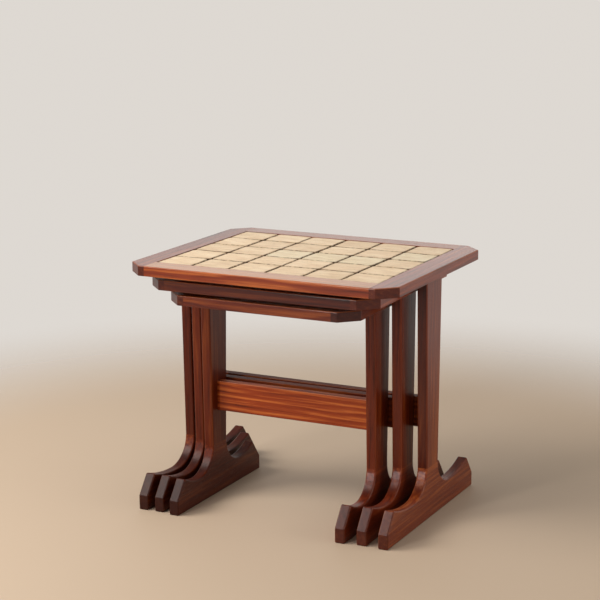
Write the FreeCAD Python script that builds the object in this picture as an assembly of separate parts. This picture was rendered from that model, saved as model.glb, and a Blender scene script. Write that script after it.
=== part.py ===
import FreeCAD, Part
import os
import math

V = FreeCAD.Vector

# Nest of three tables. Millimetres, +Z up, floor at z = 0, front towards -Y.
# Origin: on the floor under the middle of the large table's top.

# ---- sections shared by the three tables --------------------------------------
TOP_T = 19.0            # thickness of every top frame
CORNER_CUT = 32.0       # 45 degree cut across each top corner
CORNER_ROUND = 2.5      # rounding of the upright edges of that cut
SIDE_RAIL_W = 44.5      # visible width of the rails at the left and right
END_RAIL_W = 43.5       # visible width of the rails at the front and back
LEDGE_W = 8.0           # ledge inside the frame that carries the panel or tile board
LEDGE_T = 5.0           # thickness of that ledge
TENON_L = 10.0          # stub tenon of a front or back rail
TENON_T = 6.0
TENON_MARGIN = 9.0      # shoulder kept at both edges of the rail tenon
TOP_EASE = 2.0          # rounding of the upper outside edge
BOTTOM_EASE = 1.0       # rounding of the lower outside edge
PANEL_GAP = 0.5         # gap all round a loose board in its frame

LEG_T = 20.0            # board thickness of legs and feet, along X
LEG_INSET = 12.0        # leg outer face in from the side of the top
LEG_FOOT_HALF = 27.0    # half depth of a leg where it meets its foot
LEG_TAPER = 0.0266      # gain of half depth per mm of height
LEG_ROUND = 3.5         # rounding of the long leg edges

FOOT_JOINT_Z = 100.0    # height of the joint between foot and leg
FOOT_LOW_Z = 49.5       # lowest point of the upper outline
FOOT_PEAK_Z = 64.5      # height of the toe ridge
FOOT_END_Z = 28.0       # height of the upright end face
FOOT_FACET = 28.0       # length of the slanted toe facet along Y
FOOT_STRAIGHT = 12.0    # straight run of the outline just before the ridge
FOOT_ROUND = 3.0        # rounding of the outline edges
FOOT_SOLE_EASE = 1.5    # rounding at the ends of the sole

RAIL_T = 18.0           # thickness of the stretchers, along Y
RAIL_H = 58.0           # height of the stretchers
RAIL_EASE = 1.5
STOP_GAP = 0.4          # a stretcher stops the legs of the next table this far in front of it
SMALL_RAIL_FRONT = -7.5 # front face of the smallest stretcher from the middle of its legs
RAIL_TENON = (12.0, 10.0, 40.0)   # length, thickness, height of the stretcher tenon

DOWEL_R = 4.0
DOWEL_END = 0.8         # small cone at both ends of a dowel
TOP_DOWEL = (12.0, 23.0, 18.0)    # depth in rail, depth in leg, half spacing
FOOT_DOWEL = (25.0, 25.0, 13.0)   # depth in foot, depth in leg, half spacing

# ---- tile field of the large table ----------------------------------------------
TILE_COLS = 6
TILE_ROWS = 5
TILE_JOINT_X = 2.4
TILE_JOINT_Y = 2.0
TILE_T = 5.6
TILE_EASE = 0.6
BOARD_T = 8.0
GROUT_T = 4.4

# ---- the three tables --------------------------------------------------------------
# width, depth and height of the top, foot length, low point of the foot outline,
# height of the stretcher's upper edge, position of the table's middle on the floor,
# and the table that stands inside
TABLES = {
    "large": {
        "w": 540.0, "d": 440.0, "h": 476.0, "foot": 410.0, "low": 88.0, "rail_top": 224.0,
        "x": 0.0, "y": 0.0, "inside": "middle",
    },
    "middle": {
        "w": 464.0, "d": 372.0, "h": 449.0, "foot": 370.0, "low": 83.0, "rail_top": 224.0,
        "x": -5.0, "y": -18.0, "inside": "small",
    },
    "small": {
        "w": 388.0, "d": 304.0, "h": 422.0, "foot": 327.0, "low": 78.0, "rail_top": 225.0,
        "x": -7.5, "y": -45.0, "inside": None,
    },
}

FUZZ = 1e-4


def box(x0, x1, y0, y1, z0, z1):
    return Part.makeBox(x1 - x0, y1 - y0, z1 - z0, V(x0, y0, z0))


def prism(points, direction):
    """Solid swept from a closed polygon of vectors."""
    return Part.Face(Part.makePolygon(points + [points[0]])).extrude(direction)


def find_edges(shape, test):
    """Edges whose two end points both pass the test."""
    found = []
    for edge in shape.Edges:
        if all(test(vertex.Point) for vertex in edge.Vertexes):
            found.append(edge)
    return found


def save(shape, node):
    solid = shape if shape.ShapeType == "Compound" else shape.removeSplitter()
    solid.exportStep(os.path.join("parts", node + ".step"))


# ---- top frame ---------------------------------------------------------------------

def side_rail(t):
    """Right-hand rail of a top: full depth, both outer corners cut, ledge and mortises."""
    half_w = t["w"] / 2
    half_d = t["d"] / 2
    z1 = t["h"]
    z0 = z1 - TOP_T
    inner = half_w - SIDE_RAIL_W
    outline = [
        V(inner, -half_d, z0),
        V(half_w - CORNER_CUT, -half_d, z0),
        V(half_w, -half_d + CORNER_CUT, z0),
        V(half_w, half_d - CORNER_CUT, z0),
        V(half_w - CORNER_CUT, half_d, z0),
        V(inner, half_d, z0),
    ]
    rail = prism(outline, V(0, 0, TOP_T))

    def outside_edges(shape, height):
        level = find_edges(shape, lambda p: abs(p.z - height) < FUZZ)
        return [e for e in level if any(vertex.Point.x > inner + FUZZ for vertex in e.Vertexes)]

    upright = [e for e in rail.Edges if abs(e.Vertexes[0].Point.z - e.Vertexes[-1].Point.z) > FUZZ]
    corners = [e for e in upright if e.Vertexes[0].Point.x > inner + FUZZ]
    rail = rail.makeFillet(CORNER_ROUND, corners)
    rail = rail.makeFillet(TOP_EASE, outside_edges(rail, z1))
    rail = rail.makeFillet(BOTTOM_EASE, outside_edges(rail, z0))

    ledge_end = half_d - END_RAIL_W - LEDGE_W
    rail = rail.fuse(box(inner - LEDGE_W, inner, -ledge_end, ledge_end, z0, z0 + LEDGE_T))
    for end in (-1, 1):
        rail = rail.cut(rail_tenon(t, 1, end))
    return rail.cut(top_dowels_at(t, 1))


def rail_tenon(t, side, end):
    """Stub tenon where a front or back rail enters a side rail."""
    half_w = t["w"] / 2
    inner = half_w - SIDE_RAIL_W
    mid_z = t["h"] - TOP_T / 2
    y_out = t["d"] / 2 - TENON_MARGIN
    y_in = t["d"] / 2 - END_RAIL_W + TENON_MARGIN
    x0, x1 = sorted((side * inner, side * (inner + TENON_L)))
    y0, y1 = sorted((end * y_in, end * y_out))
    return box(x0, x1, y0, y1, mid_z - TENON_T / 2, mid_z + TENON_T / 2)


def front_rail(t):
    """Front rail of a top, between the side rails, with a tenon at each end."""
    half_d = t["d"] / 2
    z1 = t["h"]
    z0 = z1 - TOP_T
    inner_x = t["w"] / 2 - SIDE_RAIL_W
    inner_y = half_d - END_RAIL_W
    rail = box(-inner_x, inner_x, -half_d, -inner_y, z0, z1)
    rail = rail.makeFillet(
        TOP_EASE, find_edges(rail, lambda p: abs(p.y + half_d) < FUZZ and abs(p.z - z1) < FUZZ))
    rail = rail.makeFillet(
        BOTTOM_EASE, find_edges(rail, lambda p: abs(p.y + half_d) < FUZZ and abs(p.z - z0) < FUZZ))
    rail = rail.fuse(box(-inner_x, inner_x, -inner_y, -inner_y + LEDGE_W, z0, z0 + LEDGE_T))
    for side in (-1, 1):
        rail = rail.fuse(rail_tenon(t, side, -1))
    return rail


def field_half(t):
    return t["w"] / 2 - SIDE_RAIL_W, t["d"] / 2 - END_RAIL_W


def flush_panel(t):
    """Loose panel that fills the frame of the middle and small tops, level with the rails."""
    half_x, half_y = field_half(t)
    half_x -= PANEL_GAP
    half_y -= PANEL_GAP
    z0 = t["h"] - TOP_T + LEDGE_T
    return box(-half_x, half_x, -half_y, half_y, z0, t["h"])


# ---- tiled top of the large table ------------------------------------------------------

def tile_board(t):
    half_x, half_y = field_half(t)
    half_x -= PANEL_GAP
    half_y -= PANEL_GAP
    z0 = t["h"] - TOP_T + LEDGE_T
    return box(-half_x, half_x, -half_y, half_y, z0, z0 + BOARD_T)


def tile_rectangles(t):
    half_x, half_y = field_half(t)
    pitch_x = 2 * half_x / TILE_COLS
    pitch_y = 2 * half_y / TILE_ROWS
    for col in range(TILE_COLS):
        for row in range(TILE_ROWS):
            x0 = -half_x + col * pitch_x + TILE_JOINT_X / 2
            y0 = -half_y + row * pitch_y + TILE_JOINT_Y / 2
            yield x0, x0 + pitch_x - TILE_JOINT_X, y0, y0 + pitch_y - TILE_JOINT_Y


def tiles(t):
    z0 = t["h"] - TOP_T + LEDGE_T + BOARD_T
    z1 = z0 + TILE_T
    solids = []
    for x0, x1, y0, y1 in tile_rectangles(t):
        tile = box(x0, x1, y0, y1, z0, z1)
        rim = find_edges(tile, lambda p: abs(p.z - z1) < FUZZ)
        solids.append(tile.makeChamfer(TILE_EASE, rim))
    return Part.makeCompound(solids)


def grout(t):
    """Grout lattice that fills the joints between the tiles and round the field."""
    half_x, half_y = field_half(t)
    z0 = t["h"] - TOP_T + LEDGE_T + BOARD_T
    lattice = box(-half_x, half_x, -half_y, half_y, z0, z0 + GROUT_T)
    pockets = [box(x0, x1, y0, y1, z0, z0 + GROUT_T) for x0, x1, y0, y1 in tile_rectangles(t)]
    return lattice.cut(Part.makeCompound(pockets))


# ---- legs, feet, stretcher ---------------------------------------------------------------

def leg_half_depth(z):
    return LEG_FOOT_HALF + LEG_TAPER * (z - FOOT_JOINT_Z)


def leg_faces(t):
    """Inner and outer face of the right-hand leg along X."""
    outer = t["w"] / 2 - LEG_INSET
    return outer - LEG_T, outer


def leg(t):
    """Right-hand leg: tapered upright board with a mortise for the stretcher."""
    x0, x1 = leg_faces(t)
    z1 = t["h"] - TOP_T
    low = leg_half_depth(FOOT_JOINT_Z)
    high = leg_half_depth(z1)
    outline = [
        V(x0, -low, FOOT_JOINT_Z),
        V(x0, low, FOOT_JOINT_Z),
        V(x0, high, z1),
        V(x0, -high, z1),
    ]
    post = prism(outline, V(LEG_T, 0, 0))
    long_edges = [e for e in post.Edges if abs(e.Vertexes[0].Point.z - e.Vertexes[-1].Point.z) > LEG_T]
    post = post.makeFillet(LEG_ROUND, long_edges)
    post = post.cut(stretcher_tenon(t, 1))
    post = post.cut(top_dowels_at(t, 1))
    return post.cut(foot_dowels_at(t, 1))


def corner_arc(before, corner, after, radius):
    """Arc of the given radius that rounds a corner between two straight runs."""
    u = (before - corner).normalize()
    w = (after - corner).normalize()
    half_angle = u.getAngle(w) / 2
    reach = radius / math.tan(half_angle)
    bisector = (u + w).normalize()
    middle = corner + bisector * (radius / math.sin(half_angle) - radius)
    return corner + u * reach, middle, corner + w * reach


def foot_half_outline(t):
    """Edges of one half of the foot outline, from the middle of the sole to the joint."""
    end = t["foot"] / 2
    peak = V(0, end - FOOT_FACET, FOOT_PEAK_Z)
    low = V(0, t["low"], FOOT_LOW_Z)
    run_start_y = peak.y - FOOT_STRAIGHT
    rise = FOOT_PEAK_Z - FOOT_LOW_Z
    reach = run_start_y - low.y
    # end slope of the shallow arc whose tangent passes through the ridge
    angle = rise / (reach / 2 + FOOT_STRAIGHT)
    for _ in range(20):
        climbed = reach * math.tan(angle / 2) + FOOT_STRAIGHT * math.tan(angle)
        angle *= rise / climbed
    radius = reach / math.sin(angle)
    run_start = V(0, run_start_y, low.z + radius * (1 - math.cos(angle)))
    arc_mid = V(0, low.y + radius * math.sin(angle / 2), low.z + radius * (1 - math.cos(angle / 2)))

    sole = V(0, end, 0)
    shoulder = V(0, end, FOOT_END_Z)
    sole_arc = corner_arc(V(0, 0, 0), sole, shoulder, FOOT_SOLE_EASE)
    shoulder_arc = corner_arc(sole, shoulder, peak, FOOT_ROUND)
    peak_arc = corner_arc(shoulder, peak, run_start, FOOT_ROUND)
    waist = V(0, LEG_FOOT_HALF, FOOT_JOINT_Z)

    saddle = Part.BSplineCurve()
    quarter = []
    for step in range(0, 9):
        a = math.radians(90.0 * step / 8)
        y = low.y - (low.y - waist.y) * math.sin(a)
        z = waist.z - (waist.z - low.z) * math.cos(a)
        quarter.append(V(0, y, z))
    saddle.interpolate(Points=quarter, InitialTangent=V(0, -1, 0), FinalTangent=V(0, 0, 1))
    return [
        Part.makeLine(V(0, 0, 0), sole_arc[0]),
        Part.Arc(*sole_arc).toShape(),
        Part.makeLine(sole_arc[2], shoulder_arc[0]),
        Part.Arc(*shoulder_arc).toShape(),
        Part.makeLine(shoulder_arc[2], peak_arc[0]),
        Part.Arc(*peak_arc).toShape(),
        Part.makeLine(peak_arc[2], run_start),
        Part.Arc(run_start, arc_mid, low).toShape(),
        saddle.toShape(),
        Part.makeLine(waist, V(0, 0, FOOT_JOINT_Z)),
    ]


def foot(t):
    """Right-hand foot: long shaped board with a raised saddle under the leg."""
    x0, x1 = leg_faces(t)
    half = foot_half_outline(t)
    mirrored = [edge.mirror(V(0, 0, 0), V(0, 1, 0)) for edge in half]
    wire = Part.Wire(Part.__sortEdges__(half + mirrored))
    block = Part.Face(wire).extrude(V(LEG_T, 0, 0))
    block.translate(V(x0, 0, 0))

    def on_outline(edge):
        points = [vertex.Point for vertex in edge.Vertexes]
        across = abs(points[0].x - points[-1].x) > FUZZ
        flat = all(p.z < FUZZ for p in points) or all(p.z > FOOT_JOINT_Z - FUZZ for p in points)
        sole_end = all(p.z < FOOT_SOLE_EASE + FUZZ for p in points)
        return not (across or flat or sole_end)

    block = block.makeFillet(FOOT_ROUND, [e for e in block.Edges if on_outline(e)])
    return block.cut(foot_dowels_at(t, 1))


def stretcher_front(t):
    """Front face of the stretcher, just behind the legs of the table that stands inside."""
    if t["inside"] is None:
        return SMALL_RAIL_FRONT
    inside = TABLES[t["inside"]]
    return inside["y"] - t["y"] + leg_half_depth(t["rail_top"]) + STOP_GAP


def stretcher_tenon(t, side):
    length, thick, height = RAIL_TENON
    inner = leg_faces(t)[0]
    x0, x1 = sorted((side * inner, side * (inner + length)))
    mid_y = stretcher_front(t) + RAIL_T / 2
    mid_z = t["rail_top"] - RAIL_H / 2
    return box(x0, x1, mid_y - thick / 2, mid_y + thick / 2, mid_z - height / 2, mid_z + height / 2)


def stretcher(t):
    """Flat board between the legs with a tenon at each end."""
    inner = leg_faces(t)[0]
    front = stretcher_front(t)
    board = box(-inner, inner, front, front + RAIL_T, t["rail_top"] - RAIL_H, t["rail_top"])
    long_edges = [e for e in board.Edges if abs(e.Vertexes[0].Point.x - e.Vertexes[-1].Point.x) > LEG_T]
    board = board.makeFillet(RAIL_EASE, long_edges)
    for side in (-1, 1):
        board = board.fuse(stretcher_tenon(t, side))
    return board


# ---- dowels ----------------------------------------------------------------------------

def dowel(x, y, z0, z1):
    peg = Part.makeCylinder(DOWEL_R, z1 - z0, V(x, y, z0))
    return peg.makeChamfer(DOWEL_END, [e for e in peg.Edges if len(e.Vertexes) == 1])


def dowel_pair(t, side, joint_z, below, above, spacing):
    x = side * (sum(leg_faces(t)) / 2)
    return [dowel(x, sign * spacing, joint_z - below, joint_z + above) for sign in (-1, 1)]


def top_dowels_at(t, side):
    in_rail, in_leg, spacing = TOP_DOWEL
    return Part.makeCompound(dowel_pair(t, side, t["h"] - TOP_T, in_leg, in_rail, spacing))


def foot_dowels_at(t, side):
    in_foot, in_leg, spacing = FOOT_DOWEL
    return Part.makeCompound(dowel_pair(t, side, FOOT_JOINT_Z, in_foot, in_leg, spacing))


def both_sides(maker, t):
    solids = []
    for side in (-1, 1):
        solids += maker(t, side).Solids
    return Part.makeCompound(solids)


# ---- assembly -----------------------------------------------------------------------------

def mirrored_x(shape):
    return shape.mirror(V(0, 0, 0), V(1, 0, 0))


def table_nodes(name, t):
    right_rail = side_rail(t)
    near_rail = front_rail(t)
    right_leg = leg(t)
    right_foot = foot(t)
    nodes = {
        "side_rail_right": right_rail,
        "side_rail_left": mirrored_x(right_rail),
        "front_rail": near_rail,
        "back_rail": near_rail.mirror(V(0, 0, 0), V(0, 1, 0)),
        "leg_right": right_leg,
        "leg_left": mirrored_x(right_leg),
        "foot_right": right_foot,
        "foot_left": mirrored_x(right_foot),
        "stretcher": stretcher(t),
        "leg_top_dowels": both_sides(top_dowels_at, t),
        "foot_dowels": both_sides(foot_dowels_at, t),
    }
    if name == "large":
        nodes["tile_board"] = tile_board(t)
        nodes["tiles"] = tiles(t)
        nodes["tile_grout"] = grout(t)
    else:
        nodes["top_panel"] = flush_panel(t)
    return nodes


os.makedirs("parts", exist_ok=True)
for table_name, sizes in TABLES.items():
    for node_name, shape in table_nodes(table_name, sizes).items():
        placed = shape.copy()
        placed.translate(V(sizes["x"], sizes["y"], 0))
        save(placed, table_name + "_" + node_name)
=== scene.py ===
import bpy
import bmesh
import math
import random
from mathutils import Matrix, Vector, noise


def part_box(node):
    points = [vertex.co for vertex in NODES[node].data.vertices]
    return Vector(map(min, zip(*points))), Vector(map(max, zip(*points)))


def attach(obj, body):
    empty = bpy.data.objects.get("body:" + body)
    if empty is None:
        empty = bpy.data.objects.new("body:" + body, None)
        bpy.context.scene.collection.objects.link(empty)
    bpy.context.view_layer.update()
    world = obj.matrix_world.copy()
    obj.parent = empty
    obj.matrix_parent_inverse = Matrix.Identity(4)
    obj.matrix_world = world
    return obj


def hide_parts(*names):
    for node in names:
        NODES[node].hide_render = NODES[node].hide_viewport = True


# Nest of three tables: metres, +Z up, floor at z = 0, front towards -Y.
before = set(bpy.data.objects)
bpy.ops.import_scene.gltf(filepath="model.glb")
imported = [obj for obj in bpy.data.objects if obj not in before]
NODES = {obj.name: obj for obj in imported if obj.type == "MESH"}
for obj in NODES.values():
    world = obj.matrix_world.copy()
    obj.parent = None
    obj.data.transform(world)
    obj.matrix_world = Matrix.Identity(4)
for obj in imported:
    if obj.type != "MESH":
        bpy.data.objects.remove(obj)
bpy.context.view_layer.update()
TABLES = ("large", "middle", "small")

# ---- camera ---------------------------------------------------------------------
CAMERA_PLACE = Vector((1.4501, -2.9215, 1.1118))
CAMERA_AZIMUTH = math.radians(26.659)
CAMERA_ELEVATION = math.radians(12.475)
CAMERA_ROLL = math.radians(-0.295)
SENSOR_WIDTH = 36.0         # millimetres
CAMERA_LENS = 106.05        # millimetres

# ---- studio ---------------------------------------------------------------------
FLOOR_RADIUS = 3.0
FLOOR_SEGMENTS = 96
FLOOR_FADE = (0.75, 1.65)   # the floor melts into the backdrop between these radii
FLOOR_COLOUR = (0.52, 0.40, 0.29)
FLOOR_ROUGHNESS = 0.7
HORIZON_COLOUR = (0.73, 0.69, 0.645)
ZENITH_COLOUR = (0.36, 0.355, 0.345)
SKY_RISE = (0.10, 0.60)     # upward part of the direction, from horizon colour to zenith colour
FRONT_DIMMING = (0.76, 0.755, 0.75)   # the room in front of the nest is dimmer than the backdrop
FRONT_TURN = (-0.05, -0.75)           # Y part of the direction over which that dimming comes in
NEST_MIDDLE = Vector((0.0, 0.0, 0.3))   # what the lamps look at
LIGHTS = (
    # name, azimuth and elevation in degrees, distance, width, height, watts, colour
    ("key_light", -56.0, 37.0, 2.6, 1.4, 1.4, 61.0, (1.0, 0.96, 0.90)),
    ("front_light", -18.0, 12.0, 2.6, 0.32, 1.3, 20.5, (1.0, 0.97, 0.96)),
    ("upper_light", -18.0, 44.0, 2.6, 0.4, 0.5, 5.5, (1.0, 0.98, 1.0)),
    ("side_light", 97.0, 13.0, 2.6, 1.6, 1.1, 17.0, (1.0, 0.96, 0.90)),
    ("back_light", 207.0, 12.0, 3.0, 2.0, 1.4, 6.5, (1.0, 0.97, 0.94)),
)

# ---- wood colours, dark grain to light streak --------------------------------------
WOOD_DARK = (0.062, 0.0080, 0.0022)
WOOD_MID = (0.210, 0.0300, 0.0060)
WOOD_LIGHT = (0.430, 0.1080, 0.0210)
# painted highlight: colour of the paler upper face
WOOD_UPPER_HIGHLIGHT = (0.640, 0.3400, 0.1500)
# arrises painted lighter: partly rubbing, partly painted highlight
WOOD_WEAR_AND_HIGHLIGHT = (0.520, 0.1700, 0.0700)
WOOD_END = (0.62, 0.58, 0.56)     # end grain keeps this much of the colour
END_STAIN = 0.55                  # and goes this far towards the dark grain
WOOD_UNDER_SHADE = (0.42, 0.36, 0.34)   # painted shade: undersides keep this much of the colour
WOOD_FLOOR_SHADE = (0.40, 0.36, 0.34)   # painted shade: a foot in full painted shade keeps this much of the colour
SHADE_WARMTH = (1.0, 1.2, 1.3)    # exponents that keep a darker tone warm
BEECH = ((0.52, 0.34, 0.19), (0.38, 0.23, 0.12))     # light, dark
PLYWOOD = ((0.50, 0.34, 0.19), (0.36, 0.23, 0.12))   # light, dark

# ---- wood grain and finish ------------------------------------------------------------
# Noise cycles per metre, along the grain and across it.
WANDER_CYCLES = (1.7, 7.0)
FLUTTER_CYCLES = (6.0, 30.0)
TONE_CYCLES = (1.8, 13.0)
STREAK_CYCLES = (6.0, 190.0)
FIBRE_CYCLES = (20.0, 750.0)
PORE_CYCLES = (60.0, 1900.0)
WEAR_AND_HIGHLIGHT_CYCLES = (14.0, 60.0)
TIMBER_SHIFT = 5.0                # metres by which a board's place in the timber may be off its middle
RING_SPACING = (0.0085, 0.0125)   # metres from one growth ring to the next
RING_LEAN = (0.5, 1.1)            # radians by which the rings lean across the board
RING_RISE = (0.10, 0.80)          # part of a ring over which its late wood darkens
RING_FALL = (1.0, 0.80)           # and over which it ends again
RING_WANDER = 0.050               # slow bending of the rings, in metres
RING_FLUTTER = 0.012              # quick bending of the rings, in metres
LATE_MEAN = 0.45                  # the rings darken above this and lighten below it
STREAK_WEIGHT = 0.80
STREAK_OFFSET = -0.09
TONE_WEIGHT = 0.72
FIBRE_WEIGHT = 0.26
DARK_GRAIN = (0.78, 0.46)         # lightness over which the grain goes dark
LIGHT_GRAIN = (0.76, 1.10)        # lightness over which it goes light
PORE_DEPTH = (0.62, 0.72)         # noise above which there is a pore
PORE_STAIN = 0.40
# How far a face is turned, as a part of its normal, where each shading sets in and is full.
END_TURN = (0.25, 0.66)           # towards the grain axis: end grain
NARROW_TURN = (0.80, 0.30)        # away from the thickness axis: narrow side
UNDER_TURN = (-0.30, -0.90)       # down: underside, which gets painted shade
UPPER_TURN = (0.90, 0.995)        # up: upper face
WEAR_AND_HIGHLIGHT_TURN = (-0.25, 0.10)         # up: arris that hands rub, and that gets the painted highlight
WEAR_AND_HIGHLIGHT_SLANT = (0.20, 0.46)         # between two faces: arris; a slant of 45 degrees gives 0.5
FOOT_END_HEIGHT = (0.085, 0.055)  # a foot has end grain below this height, not on its upper curves
FOOT_SHADE_HEIGHT = (0.095, 0.050)   # painted shade: a foot darkens from the first height down to the second
HIGHLIGHT_STREAKS = 0.8               # the painted highlight on an upper face is uneven with the streaks
HIGHLIGHT_BASE = 0.6
BASE_ROUGHNESS = 0.30
FIBRE_ROUGHNESS = 0.12
PORE_ROUGHNESS = 0.10
END_ROUGHNESS = 0.10
BOARD_SPECULAR = 0.14
BOARD_COAT_ROUGHNESS = 0.15
FOOT_COAT_ROUGHNESS = 0.27
GRAIN_RELIEF = 0.00010            # metres
FIBRE_RELIEF = 0.5                # height of a fibre, where a pore is 1 deep
PLAIN_CYCLES = (9.0, 300.0)       # unfinished wood, per metre along and across its grain
PLAIN_RANGE = (0.3, 0.7)
PLAIN_ROUGHNESS = 0.6
PLAIN_FIBRE_ROUGHNESS = 0.2
ARRIS_ANGLE = math.radians(32)    # edges sharper than this stay sharp on the boards

# ---- tile materials ---------------------------------------------------------------
# Noise cycles per metre along X and Y, detail and roughness.
TILE_CLOUD_NOISE = (28.0, 48.0, 3.0, 0.55)
TILE_STREAK_NOISE = (26.0, 330.0, 4.0, 0.6)
TILE_SPECK_NOISE = (600.0, 900.0, 2.0, 0.55)
TILE_PIT_NOISE = (220.0, 480.0, 2.0, 0.55)
TILE_STAIN_NOISE = (14.0, 75.0, 4.0, 0.6)
TILE_BREAK_NOISE = (130.0, 130.0, 3.0, 0.55)
# Noise where each layer sets in and is full, then the strength of its colour at both.
TILE_STREAK_RANGE = (0.36, 0.66)
TILE_CLOUD_RANGE = (0.38, 0.70, 0.0, 0.45)
TILE_SPECK_RANGE = (0.55, 0.75, 0.0, 0.25)
TILE_STAIN_RANGE = (0.60, 0.80, 0.0, 0.45)
TILE_PIT_RANGE = (0.66, 0.72)
TILE_BREAK_RANGE = (0.32, 0.60, 0.25, 1.0)
TILE_PIT_STRENGTH = 0.6
TILE_RIM_STRENGTH = 0.95
TILE_OWN_SHIFT = 7.0              # moves the noise from tile to tile
TILE_DARK = (0.65, 0.475, 0.300)
TILE_LIGHT = (0.83, 0.670, 0.465)
TILE_PALE = (0.87, 0.745, 0.560)
TILE_SPECK = (0.46, 0.330, 0.190)
TILE_STAIN = (0.56, 0.375, 0.235)
TILE_PIT = (0.24, 0.140, 0.070)
TILE_RIM = (0.085, 0.040, 0.018)
TILE_TINTS = ((0.93, 0.91, 0.89), (1.05, 1.05, 1.05))   # darkest and lightest tile
TILE_HUES = ((1.02, 0.99, 0.965), (0.97, 1.02, 1.02))   # most tiles, and the few greenish ones
GREENISH_FROM = (0.84, 0.90)      # share of the tile's own number above which it is greenish
TILE_ROUGHNESS = 0.42
TILE_STREAK_ROUGHNESS = 0.16
TILE_RIM_ROUGHNESS = 0.35
TILE_PIT_ROUGHNESS = 0.2
TILE_SPECULAR = 0.25
TILE_RELIEF = 0.00035             # metres
TILE_CLOUD_RELIEF = 0.6           # shares of that relief
TILE_STREAK_RELIEF = 0.25
TILE_PIT_RELIEF = 0.5
GROUT_DARK = (0.018, 0.008, 0.004)
GROUT_LIGHT = (0.060, 0.027, 0.012)
GROUT_WORN = (0.30, 0.19, 0.105)
GRIT_CYCLES = 420.0               # per metre
WORN_CYCLES = 45.0                # per metre
GRIT_RANGE = (0.3, 0.7)
WORN_RANGE = (0.48, 0.72, 0.0, 0.55)
GROUT_ROUGHNESS = 0.75
GRIT_ROUGHNESS = 0.2
GROUT_SPECULAR = 0.02
GROUT_RELIEF = 0.0004             # metres

# ---- tile shapes, in metres ---------------------------------------------------------
TILE_COLS = 6
TILE_ROWS = 5
TILE_SEED = 41
TILE_CORNER = (0.0045, 0.0085)   # radius of a tile's corner
CORNER_STEPS = 4                 # steps round a corner of the outline
TILE_SIDE_POINTS = 10            # points along each side of a tile's outline
CORNER_CLEAR = 0.004             # no side point is nearer than this to a corner
TILE_WAVE = 0.00060              # how far a tile's edge is drawn in before the waves
WAVE_GAIN = 1.6                  # how strongly the waves change that
WAVES = ((1.3, 55.0), (0.5, 170.0))   # strength and cycles per metre of the slow and quick waves
WAVE_PHASE_STEP = 9.0            # keeps the two waves apart in the noise
TILE_SWAY = 0.00025              # how far a tile's face rises and falls
SWAY_CYCLES = 38.0               # per metre
SWAY_MIDDLE = 0.4                # noise at which the face is neither high nor low
SWAY_SHIFT = 50.0                # moves that noise from tile to tile
TILE_PROUD = 0.0003              # how far a face may stand above the CAD tile
TILE_TILT = 0.0016               # largest slope of a tile's face
TILE_SHIFT = 0.0005              # how far a tile may be laid off its place
TILE_SLACK = (-0.0004, 0.0006)   # what may be added to a tile's width and depth
TILE_ROUND = 0.0010              # rounding of a tile's upper edge
ROUND_STEPS = 4                  # steps round that upper edge
ROUND_RIM_LOSS = 0.10            # the dark rim weakens by this at each step
RIM_START = TILE_ROUND * 1.8     # where the rounding starts, below the face
FACE_RINGS = ((0.0021, 0.30), (0.0034, 0.08), (0.006, 0.0), (0.011, 0.0), (0.018, 0.0),
              (0.026, 0.0))      # inset of each ring on the face, and its strength of dark rim
MOST_INSET = 0.92                # largest inset, as a share of half the tile
TILE_EDGE_ANGLE = math.radians(50)   # edges sharper than this stay sharp on the tiles

# ---- boards ---------------------------------------------------------------------
BOARDS = {
    # part: (grain axis, axis across the thickness, tone, figure, polish, wear and highlight); the lower
    # left tones are painted shade
    "side_rail_right": ("Y", "Z", 0.86, 0.12, 0.38, 1.0),
    "side_rail_left": ("Y", "Z", 0.66, 0.16, 0.30, 0.7),
    "front_rail": ("X", "Z", 0.88, 0.22, 0.36, 0.8),
    "back_rail": ("X", "Z", 0.85, 0.16, 0.38, 0.7),
    "leg_right": ("Z", "X", 0.60, 0.10, 0.16, 0.3),
    "leg_left": ("Z", "X", 0.44, 0.10, 0.10, 0.3),
    "foot_right": ("Y", "X", 0.68, 0.10, 0.28, 0.2),
    "foot_left": ("Y", "X", 0.50, 0.10, 0.10, 0.2),
    "stretcher": ("X", "Z", 1.11, 0.22, 0.05, 1.3),
    "top_panel": ("X", "Z", 0.80, 0.35, 0.30, 0.0),
}
# What single boards have in place of their part's tone and polish; the darker stretcher tones are
# painted shade.
TONES = {"large_stretcher": 0.60, "middle_stretcher": 0.60}
POLISHES = {"large_leg_right": 0.28}
# Painted shade: how much of the colour the narrow sides of a board keep. All others keep the whole of
# it.
NARROW_SIDE_SHADE = {
    "large_leg_right": 0.52,
    "large_leg_left": 0.75,
    "middle_leg_right": 0.82,
    "small_leg_right": 0.86,
    "small_leg_left": 0.88,
    "middle_front_rail": 0.34,
    "small_front_rail": 0.54,
    "small_side_rail_right": 0.54,
}
# How far the upper face of a board is painted paler, as a painted highlight.
UPPER_HIGHLIGHT = {"large_front_rail": 0.45, "large_back_rail": 0.10}
# Roughness added to the upper faces of a part, and the painted shade of the feet at floor level.
DULL = {"stretcher": 0.3, "foot_right": 0.4, "foot_left": 0.4}
FOOT_SHADES = {"foot_right": 0.12, "foot_left": 0.85}


# ==== node helpers ==================================================================

def put(tree, kind, inputs=None, **settings):
    """Adds a node. Each input is a number, a colour or another node's output."""
    node = tree.nodes.new(kind)
    for key, value in settings.items():
        setattr(node, key, value)
    for key, value in (inputs or {}).items():
        if isinstance(value, bpy.types.NodeSocket):
            tree.links.new(value, node.inputs[key])
        else:
            node.inputs[key].default_value = value
    return node


def calc(tree, operation, a, b=0.0, c=0.0):
    return put(tree, "ShaderNodeMath", {0: a, 1: b, 2: c}, operation=operation).outputs[0]


def plus(tree, a, b):
    return calc(tree, "ADD", a, b)


def minus(tree, a, b):
    return calc(tree, "SUBTRACT", a, b)


def times(tree, a, b):
    return calc(tree, "MULTIPLY", a, b)


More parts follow.
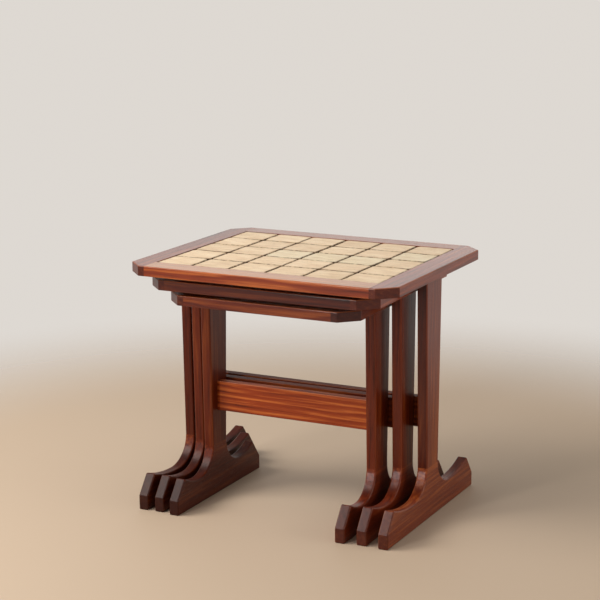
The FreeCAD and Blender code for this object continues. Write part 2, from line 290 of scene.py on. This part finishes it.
def spread(tree, value, low, high, out_low=0.0, out_high=1.0):
    """Smooth step of value from out_low at low to out_high at high."""
    inputs = {"Value": value, "From Min": low, "From Max": high, "To Min": out_low, "To Max": out_high}
    return put(tree, "ShaderNodeMapRange", inputs, interpolation_type="SMOOTHSTEP").outputs[0]


def blend_colour(tree, factor, a, b, mode="MIX"):
    inputs = {0: factor, 6: rgba(a), 7: rgba(b)}
    return put(tree, "ShaderNodeMix", inputs, data_type="RGBA", blend_type=mode).outputs[2]


def tinted(tree, colour, tint):
    return blend_colour(tree, 1.0, colour, tint, "MULTIPLY")


def rgba(colour):
    return colour if isinstance(colour, bpy.types.NodeSocket) else (*colour, 1.0)


def darkening(amount):
    """Tint that keeps this much of the red and a little less of the green and blue."""
    return tuple(amount ** warmth for warmth in SHADE_WARMTH)


def vector(tree, x, y, z):
    return put(tree, "ShaderNodeCombineXYZ", {0: x, 1: y, 2: z}).outputs[0]


def parts_of(tree, socket):
    node = put(tree, "ShaderNodeSeparateXYZ", {0: socket})
    return node.outputs[0], node.outputs[1], node.outputs[2]


def object_place(tree):
    return put(tree, "ShaderNodeTexCoord").outputs["Object"]


def scaled(tree, place, factor):
    return put(tree, "ShaderNodeVectorMath", {0: place, 3: factor}, operation="SCALE").outputs[0]


def cloud(tree, place, detail=2.0, roughness=0.5):
    """Noise from 0 to 1 at a place that is already scaled."""
    inputs = {"Vector": place, "Scale": 1.0, "Detail": detail, "Roughness": roughness}
    return put(tree, "ShaderNodeTexNoise", inputs).outputs[0]


def new_material(name):
    material = bpy.data.materials.new(name)
    material.use_nodes = True
    tree = material.node_tree
    shader = next(n for n in tree.nodes if n.type == "BSDF_PRINCIPLED")
    return material, tree, shader


def bump(tree, shader, height, distance):
    node = put(tree, "ShaderNodeBump", {"Height": height, "Distance": distance, "Strength": 1.0})
    tree.links.new(node.outputs[0], shader.inputs["Normal"])


# ==== wood ==========================================================================

def wood(name, along, thin, seed, tone, figure, polish, wear_and_highlight, upper_highlight, dull, narrow_shade, foot_shade):
    """Stained and polished mahogany board with its grain along one axis.

    thin is the axis across its thickness, figure the strength of the growth rings, polish the weight
    of the clear coat and wear how much lighter the arrises are painted, partly as rubbing and partly as
    painted highlight. faded paints the upper face paler as a painted highlight and dull takes its shine
    away. edge is how much of the colour the narrow sides keep under painted shade. foot_shade is the
    painted shade of a foot at floor level, and None on any other board."""
    material, tree, shader = new_material(name)
    draw = random.Random(seed)
    coords = put(tree, "ShaderNodeTexCoord")
    x, y, z = parts_of(tree, coords.outputs["Object"])
    u, v, w = {"X": (x, y, z), "Y": (y, z, x), "Z": (z, x, y)}[along]
    # every board is cut from another place in the timber
    u = plus(tree, u, draw.uniform(-TIMBER_SHIFT, TIMBER_SHIFT))
    v = plus(tree, v, draw.uniform(-TIMBER_SHIFT, TIMBER_SHIFT))
    w = plus(tree, w, draw.uniform(-TIMBER_SHIFT, TIMBER_SHIFT))

    def grain(cycles, detail=2.0, roughness=0.5):
        """Noise with so many cycles per metre along the grain and across it."""
        per_along, per_across = cycles
        place = vector(tree, times(tree, u, per_along), times(tree, v, per_across),
                       times(tree, w, per_across))
        return cloud(tree, place, detail, roughness)

    # growth rings: distance from a far centre, bent by noise along the board
    lean = draw.uniform(*RING_LEAN)
    wander = times(tree, minus(tree, grain(WANDER_CYCLES), 0.5), RING_WANDER)
    flutter = times(tree, minus(tree, grain(FLUTTER_CYCLES), 0.5), RING_FLUTTER)
    across = plus(tree, times(tree, v, math.cos(lean)), times(tree, w, math.sin(lean)))
    depth = plus(tree, across, plus(tree, wander, flutter))
    ring = calc(tree, "FRACT", times(tree, depth, 1.0 / draw.uniform(*RING_SPACING)))
    late = times(tree, spread(tree, ring, *RING_RISE), spread(tree, ring, *RING_FALL))

    tone_slow = grain(TONE_CYCLES)
    streak = grain(STREAK_CYCLES, 3.0, 0.6)
    fibre = grain(FIBRE_CYCLES, 2.0, 0.6)
    pores = spread(tree, grain(PORE_CYCLES, 1.0), *PORE_DEPTH)

    streaks = calc(tree, "MULTIPLY_ADD", streak, STREAK_WEIGHT, STREAK_OFFSET)
    lightness = plus(tree, streaks, times(tree, tone_slow, TONE_WEIGHT))
    lightness = plus(tree, lightness, times(tree, fibre, FIBRE_WEIGHT))
    lightness = minus(tree, lightness, times(tree, minus(tree, late, LATE_MEAN), figure))
    colour = blend_colour(tree, spread(tree, lightness, *DARK_GRAIN), WOOD_MID, WOOD_DARK)
    colour = blend_colour(tree, spread(tree, lightness, *LIGHT_GRAIN), colour, WOOD_LIGHT)
    colour = blend_colour(tree, times(tree, pores, PORE_STAIN), colour, WOOD_DARK)

    # end grain drinks more stain
    normal = parts_of(tree, coords.outputs["Normal"])
    facing_end = calc(tree, "ABSOLUTE", normal["XYZ".index(along)])
    end_grain = spread(tree, facing_end, *END_TURN)
    if foot_shade is not None:
        end_grain = times(tree, end_grain, spread(tree, z, *FOOT_END_HEIGHT))
    end_colour = blend_colour(tree, END_STAIN, tinted(tree, colour, WOOD_END), WOOD_DARK)
    colour = blend_colour(tree, end_grain, colour, end_colour)

    # the upper and upright arrises are painted lighter, partly as rubbing and partly as painted
    # highlight; their normals lie between two faces
    facing = calc(tree, "ABSOLUTE", normal["XYZ".index(thin)])
    # 1.0001 keeps the root's argument above zero
    sideways = calc(tree, "SQRT", minus(tree, 1.0001, times(tree, facing, facing)))
    slant = times(tree, facing, sideways)
    rubbed_and_highlight = times(tree, spread(tree, slant, *WEAR_AND_HIGHLIGHT_SLANT), grain(WEAR_AND_HIGHLIGHT_CYCLES, 3.0))
    rubbed_and_highlight = times(tree, rubbed_and_highlight, spread(tree, normal[2], *WEAR_AND_HIGHLIGHT_TURN))
    colour = blend_colour(tree, times(tree, rubbed_and_highlight, wear_and_highlight), colour, WOOD_WEAR_AND_HIGHLIGHT)
    # the tone; where it is lowered for the left parts and the large and middle stretchers, it is
    # painted shade
    colour = tinted(tree, colour, darkening(tone))

    # painted shade on the narrow sides, the feet at floor level and the undersides, and a painted
    # highlight on the upper face
    if narrow_shade < 1.0:
        narrow = spread(tree, facing, *NARROW_TURN)
        colour = blend_colour(tree, narrow, colour, tinted(tree, colour, darkening(narrow_shade)))
    # painted shade: the feet darker towards the floor
    if foot_shade:
        floor_shade = spread(tree, z, *FOOT_SHADE_HEIGHT, 0.0, foot_shade)
        colour = blend_colour(tree, floor_shade, colour, tinted(tree, colour, WOOD_FLOOR_SHADE))
    # painted shade on the undersides
    under = spread(tree, normal[2], *UNDER_TURN)
    colour = blend_colour(tree, under, colour, tinted(tree, colour, WOOD_UNDER_SHADE))
    upper = spread(tree, normal[2], *UPPER_TURN)
    # painted highlight: the upper face paler
    if upper_highlight:
        pale = calc(tree, "MULTIPLY_ADD", streak, HIGHLIGHT_STREAKS * upper_highlight, HIGHLIGHT_BASE * upper_highlight)
        colour = blend_colour(tree, times(tree, upper, pale), colour, WOOD_UPPER_HIGHLIGHT)
    tree.links.new(colour, shader.inputs["Base Color"])

    rough = plus(tree, BASE_ROUGHNESS, times(tree, fibre, FIBRE_ROUGHNESS))
    rough = plus(tree, rough, times(tree, pores, PORE_ROUGHNESS))
    rough = plus(tree, rough, times(tree, end_grain, END_ROUGHNESS))
    rough = plus(tree, rough, times(tree, upper, dull))
    tree.links.new(rough, shader.inputs["Roughness"])
    shader.inputs["Specular IOR Level"].default_value = BOARD_SPECULAR
    shader.inputs["Coat Weight"].default_value = polish
    coat_roughness = BOARD_COAT_ROUGHNESS if foot_shade is None else FOOT_COAT_ROUGHNESS
    shader.inputs["Coat Roughness"].default_value = coat_roughness
    bump(tree, shader, minus(tree, times(tree, fibre, FIBRE_RELIEF), pores), GRAIN_RELIEF)
    return material


def plain_wood(name, along, light, dark):
    """Unfinished wood inside a joint or under the tiles, with its grain along X or Z."""
    material, tree, shader = new_material(name)
    x, y, z = parts_of(tree, object_place(tree))
    per_along, per_across = PLAIN_CYCLES
    per_x = per_along if along == "X" else per_across
    per_z = per_along if along == "Z" else per_across
    place = vector(tree, times(tree, x, per_x), times(tree, y, per_across), times(tree, z, per_z))
    fibre = cloud(tree, place, 3.0, 0.6)
    colour = blend_colour(tree, spread(tree, fibre, *PLAIN_RANGE), dark, light)
    tree.links.new(colour, shader.inputs["Base Color"])
    rough = plus(tree, PLAIN_ROUGHNESS, times(tree, fibre, PLAIN_FIBRE_ROUGHNESS))
    tree.links.new(rough, shader.inputs["Roughness"])
    bump(tree, shader, fibre, GRAIN_RELIEF)
    return material


# ==== tile and grout materials ==========================================================

def tile_material():
    """Sand-coloured tile with streaks along X, stains, small pits and a dark ragged rim."""
    material, tree, shader = new_material("sand_tile")
    x, y, z = parts_of(tree, object_place(tree))
    own = put(tree, "ShaderNodeAttribute", attribute_name="tile_tint").outputs["Fac"]
    rim = put(tree, "ShaderNodeAttribute", attribute_name="tile_rim").outputs["Fac"]
    shift = times(tree, own, TILE_OWN_SHIFT)

    def layer(per_x, per_y, detail, roughness):
        """Noise with so many cycles per metre, different on each tile."""
        place = vector(tree, times(tree, x, per_x), times(tree, y, per_y),
                       plus(tree, times(tree, z, per_y), shift))
        return cloud(tree, place, detail, roughness)

    cloudy = layer(*TILE_CLOUD_NOISE)
    streak = layer(*TILE_STREAK_NOISE)
    speck = layer(*TILE_SPECK_NOISE)
    pits = spread(tree, layer(*TILE_PIT_NOISE), *TILE_PIT_RANGE)
    stain = layer(*TILE_STAIN_NOISE)
    breaks = layer(*TILE_BREAK_NOISE)
    colour = blend_colour(tree, spread(tree, streak, *TILE_STREAK_RANGE), TILE_DARK, TILE_LIGHT)
    colour = blend_colour(tree, spread(tree, cloudy, *TILE_CLOUD_RANGE), colour, TILE_PALE)
    colour = blend_colour(tree, spread(tree, speck, *TILE_SPECK_RANGE), colour, TILE_SPECK)
    colour = blend_colour(tree, spread(tree, stain, *TILE_STAIN_RANGE), colour, TILE_STAIN)
    colour = tinted(tree, colour, blend_colour(tree, own, *TILE_TINTS))
    colour = tinted(tree, colour, blend_colour(tree, spread(tree, own, *GREENISH_FROM), *TILE_HUES))
    colour = blend_colour(tree, times(tree, pits, TILE_PIT_STRENGTH), colour, TILE_PIT)
    ragged = times(tree, rim, spread(tree, breaks, *TILE_BREAK_RANGE))
    colour = blend_colour(tree, times(tree, ragged, TILE_RIM_STRENGTH), colour, TILE_RIM)
    tree.links.new(colour, shader.inputs["Base Color"])

    rough = calc(tree, "MULTIPLY_ADD", streak, TILE_STREAK_ROUGHNESS, TILE_ROUGHNESS)
    rough = plus(tree, rough, times(tree, rim, TILE_RIM_ROUGHNESS))
    rough = plus(tree, rough, times(tree, pits, TILE_PIT_ROUGHNESS))
    tree.links.new(rough, shader.inputs["Roughness"])
    shader.inputs["Specular IOR Level"].default_value = TILE_SPECULAR
    relief = plus(tree, times(tree, cloudy, TILE_CLOUD_RELIEF), times(tree, streak, TILE_STREAK_RELIEF))
    bump(tree, shader, minus(tree, relief, times(tree, pits, TILE_PIT_RELIEF)), TILE_RELIEF)
    return material


def grout_material():
    """Dark brown gritty grout with worn, lighter stretches."""
    material, tree, shader = new_material("brown_grout")
    place = object_place(tree)
    grit = cloud(tree, scaled(tree, place, GRIT_CYCLES), 4.0, 0.65)
    worn = cloud(tree, scaled(tree, place, WORN_CYCLES), 3.0)
    colour = blend_colour(tree, spread(tree, grit, *GRIT_RANGE), GROUT_DARK, GROUT_LIGHT)
    colour = blend_colour(tree, spread(tree, worn, *WORN_RANGE), colour, GROUT_WORN)
    tree.links.new(colour, shader.inputs["Base Color"])
    rough = plus(tree, GROUT_ROUGHNESS, times(tree, grit, GRIT_ROUGHNESS))
    tree.links.new(rough, shader.inputs["Roughness"])
    shader.inputs["Specular IOR Level"].default_value = GROUT_SPECULAR
    bump(tree, shader, grit, GROUT_RELIEF)
    return material


# ==== tiles =============================================================================

def quarter_turn(step, steps):
    return math.radians(90.0 * step / steps)


def tile_outline(draw, x0, x1, y0, y1):
    """Rounded, slightly uneven outline of one tile, anticlockwise from the front left corner."""
    corners = [Vector((x0, y0)), Vector((x1, y0)), Vector((x1, y1)), Vector((x0, y1))]
    phase = draw.uniform(0.0, 100.0)
    points = []
    for i, corner in enumerate(corners):
        before = corners[i - 1]
        after = corners[(i + 1) % 4]
        radius = draw.uniform(*TILE_CORNER)
        u = (before - corner).normalized()
        w = (after - corner).normalized()
        centre = corner + (u + w) * radius
        for step in range(CORNER_STEPS + 1):
            angle = quarter_turn(step, CORNER_STEPS)
            points.append(centre - w * radius * math.cos(angle) - u * radius * math.sin(angle))
        run = (after - corner).length
        for step in range(1, TILE_SIDE_POINTS):
            share = step / TILE_SIDE_POINTS
            if CORNER_CLEAR < share * run < run - CORNER_CLEAR:
                points.append(corner + w * run * share)
    middle = (corners[0] + corners[2]) / 2
    uneven = []
    for p in points:
        sway = 0.0
        for i, (strength, cycles) in enumerate(WAVES):
            place = Vector((p.x * cycles, p.y * cycles, phase + i * WAVE_PHASE_STEP))
            sway += strength * noise.noise(place)
        uneven.append(p - (p - middle).normalized() * TILE_WAVE * (1.0 - WAVE_GAIN * sway))
    return uneven


def tile_profile(height):
    """Rings of a tile from its foot to its face: inset, drop below the face, strength of dark rim."""
    profile = [(0.0, height, 1.0), (0.0, RIM_START, 1.0)]
    for step in range(ROUND_STEPS + 1):
        angle = quarter_turn(step, ROUND_STEPS)
        inset = TILE_ROUND * (1.0 - math.cos(angle))
        profile.append((inset, TILE_ROUND * (1.0 - math.sin(angle)), 1.0 - ROUND_RIM_LOSS * step))
    for inset, rim_value in FACE_RINGS:
        profile.append((inset, 0.0, rim_value))
    return profile


def build_tile(mesh, draw, x0, x1, y0, y1, z0, z1):
    """Adds one tile to mesh: upright sides, a rounded rim and a gently swaying face."""
    tint = mesh.verts.layers.float["tile_tint"]
    rim = mesh.verts.layers.float["tile_rim"]
    own_tint = draw.random()
    tilt_x = draw.uniform(-TILE_TILT, TILE_TILT)
    tilt_y = draw.uniform(-TILE_TILT, TILE_TILT)
    outline = tile_outline(draw, x0, x1, y0, y1)
    middle = Vector(((x0 + x1) / 2, (y0 + y1) / 2))
    half = min(x1 - x0, y1 - y0) / 2
    rings = []
    for inset, drop, rim_value in tile_profile(z1 - z0):
        ring = []
        for p in outline:
            q = p + (middle - p) * min(inset / half, MOST_INSET)
            z = z1 - drop
            if drop < z1 - z0:
                place = Vector((q.x * SWAY_CYCLES, q.y * SWAY_CYCLES, own_tint * SWAY_SHIFT))
                rise = TILE_SWAY * (noise.noise(place) - SWAY_MIDDLE)
                z += rise + tilt_x * (q.x - middle.x) + tilt_y * (q.y - middle.y)
            vert = mesh.verts.new((q.x, q.y, min(z, z1 + TILE_PROUD)))
            vert[tint] = own_tint
            vert[rim] = rim_value
            ring.append(vert)
        rings.append(ring)
    for lower, upper in zip(rings, rings[1:]):
        for i, vert in enumerate(lower):
            j = (i + 1) % len(lower)
            mesh.faces.new((vert, lower[j], upper[j], upper[i]))
    mesh.faces.new(rings[-1])
    mesh.faces.new(list(reversed(rings[0])))


def build_tiles():
    """The thirty tiles of the large top, in the space that the plain ones hold."""
    low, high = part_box("large_tiles")
    grout_low, grout_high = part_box("large_tile_grout")
    mesh = bmesh.new()
    mesh.verts.layers.float.new("tile_tint")
    mesh.verts.layers.float.new("tile_rim")
    draw = random.Random(TILE_SEED)
    pitch_x = (grout_high.x - grout_low.x) / TILE_COLS
    pitch_y = (grout_high.y - grout_low.y) / TILE_ROWS
    joint_x = 2 * (low.x - grout_low.x)
    joint_y = 2 * (low.y - grout_low.y)
    for col in range(TILE_COLS):
        for row in range(TILE_ROWS):
            x0 = grout_low.x + col * pitch_x + joint_x / 2 + draw.uniform(-TILE_SHIFT, TILE_SHIFT)
            y0 = grout_low.y + row * pitch_y + joint_y / 2 + draw.uniform(-TILE_SHIFT, TILE_SHIFT)
            x1 = x0 + pitch_x - joint_x + draw.uniform(*TILE_SLACK)
            y1 = y0 + pitch_y - joint_y + draw.uniform(*TILE_SLACK)
            build_tile(mesh, draw, x0, x1, y0, y1, low.z, high.z)
    data = bpy.data.meshes.new("tile_field")
    mesh.to_mesh(data)
    mesh.free()
    data.shade_smooth()
    data.set_sharp_from_angle(angle=TILE_EDGE_ANGLE)
    tiles = bpy.data.objects.new("tile_field", data)
    bpy.context.scene.collection.objects.link(tiles)
    data.materials.append(tile_material())
    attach(tiles, "large_table")
    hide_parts("large_tiles")


# ==== materials on the CAD nodes =============================================================

def dress(node, material):
    data = NODES[node].data
    data.materials.clear()
    data.materials.append(material)
    data.shade_smooth()
    data.set_sharp_from_angle(angle=ARRIS_ANGLE)


def dress_boards():
    beech = plain_wood("beech_dowel", "Z", *BEECH)
    plywood = plain_wood("plywood", "X", *PLYWOOD)
    for table_number, table in enumerate(TABLES):
        for part_number, (part, numbers) in enumerate(BOARDS.items()):
            node = table + "_" + part
            if node not in NODES:
                continue    # the large table has tiles where the others have a panel
            along, thin, tone, figure, polish, wear_and_highlight = numbers
            seed = 100 * table_number + part_number
            dress(node, wood(
                node + "_wood", along, thin, seed, TONES.get(node, tone), figure,
                POLISHES.get(node, polish), wear_and_highlight, UPPER_HIGHLIGHT.get(node, 0.0), DULL.get(part, 0.0),
                NARROW_SIDE_SHADE.get(node, 1.0), FOOT_SHADES.get(part)))
        dress(table + "_leg_top_dowels", beech)
        dress(table + "_foot_dowels", beech)
    dress("large_tile_board", plywood)
    dress("large_tile_grout", grout_material())


# ==== studio ================================================================================

def build_floor():
    """Round pale floor that melts into the backdrop colour."""
    mesh = bmesh.new()
    bmesh.ops.create_circle(mesh, cap_ends=True, segments=FLOOR_SEGMENTS, radius=FLOOR_RADIUS)
    data = bpy.data.meshes.new("studio_floor")
    mesh.to_mesh(data)
    mesh.free()
    floor = bpy.data.objects.new("studio_floor", data)
    bpy.context.scene.collection.objects.link(floor)
    material, tree, shader = new_material("studio_floor")
    shader.inputs["Base Color"].default_value = rgba(FLOOR_COLOUR)
    shader.inputs["Roughness"].default_value = FLOOR_ROUGHNESS
    distance = put(tree, "ShaderNodeVectorMath", {0: object_place(tree)}, operation="LENGTH")
    near, far = FLOOR_FADE
    tree.links.new(spread(tree, distance.outputs["Value"], far, near), shader.inputs["Alpha"])
    data.materials.append(material)


def build_world():
    """Pale backdrop up to the horizon, less light from above and from the front."""
    world = bpy.data.worlds.new("studio")
    world.use_nodes = True
    tree = world.node_tree
    direction = parts_of(tree, put(tree, "ShaderNodeTexCoord").outputs["Generated"])
    colour = blend_colour(tree, spread(tree, direction[2], *SKY_RISE), HORIZON_COLOUR, ZENITH_COLOUR)
    in_front = spread(tree, direction[1], *FRONT_TURN)
    colour = blend_colour(tree, in_front, colour, tinted(tree, colour, FRONT_DIMMING))
    back = tree.nodes["Background"]
    tree.links.new(colour, back.inputs["Color"])
    back.inputs["Strength"].default_value = 1.0
    bpy.context.scene.world = world


def direction_from(azimuth, elevation):
    """Direction from the nest towards a camera or lamp there; the angles are in radians."""
    return Vector((math.sin(azimuth) * math.cos(elevation), -math.cos(azimuth) * math.cos(elevation),
                   math.sin(elevation)))


def soft_light(name, azimuth, elevation, distance, width, height, power, colour):
    """Soft box that looks at the middle of the nest."""
    back = direction_from(math.radians(azimuth), math.radians(elevation))
    light = bpy.data.lights.new(name, "AREA")
    light.shape = "RECTANGLE"
    light.size = width
    light.size_y = height
    light.energy = power
    light.color = colour
    lamp = bpy.data.objects.new(name, light)
    lamp.location = NEST_MIDDLE + back * distance
    lamp.rotation_mode = "QUATERNION"
    lamp.rotation_quaternion = (-back).to_track_quat("-Z", "Y")
    bpy.context.scene.collection.objects.link(lamp)


def build_camera():
    back = direction_from(CAMERA_AZIMUTH, CAMERA_ELEVATION)
    level = Vector((math.cos(CAMERA_AZIMUTH), math.sin(CAMERA_AZIMUTH), 0.0))
    upright = back.cross(level)
    right = level * math.cos(CAMERA_ROLL) + upright * math.sin(CAMERA_ROLL)
    up = upright * math.cos(CAMERA_ROLL) - level * math.sin(CAMERA_ROLL)
    data = bpy.data.cameras.new("camera")
    data.sensor_width = SENSOR_WIDTH
    data.lens = CAMERA_LENS
    camera = bpy.data.objects.new("camera", data)
    turn = Matrix((right, up, back)).transposed()
    camera.matrix_world = Matrix.Translation(CAMERA_PLACE) @ turn.to_4x4()
    bpy.context.scene.collection.objects.link(camera)
    bpy.context.scene.camera = camera


# ==== everything ============================================================================

dress_boards()
build_tiles()
build_floor()
build_world()
for settings in LIGHTS:
    soft_light(*settings)
build_camera()
bpy.context.scene.view_settings.view_transform = "Standard"
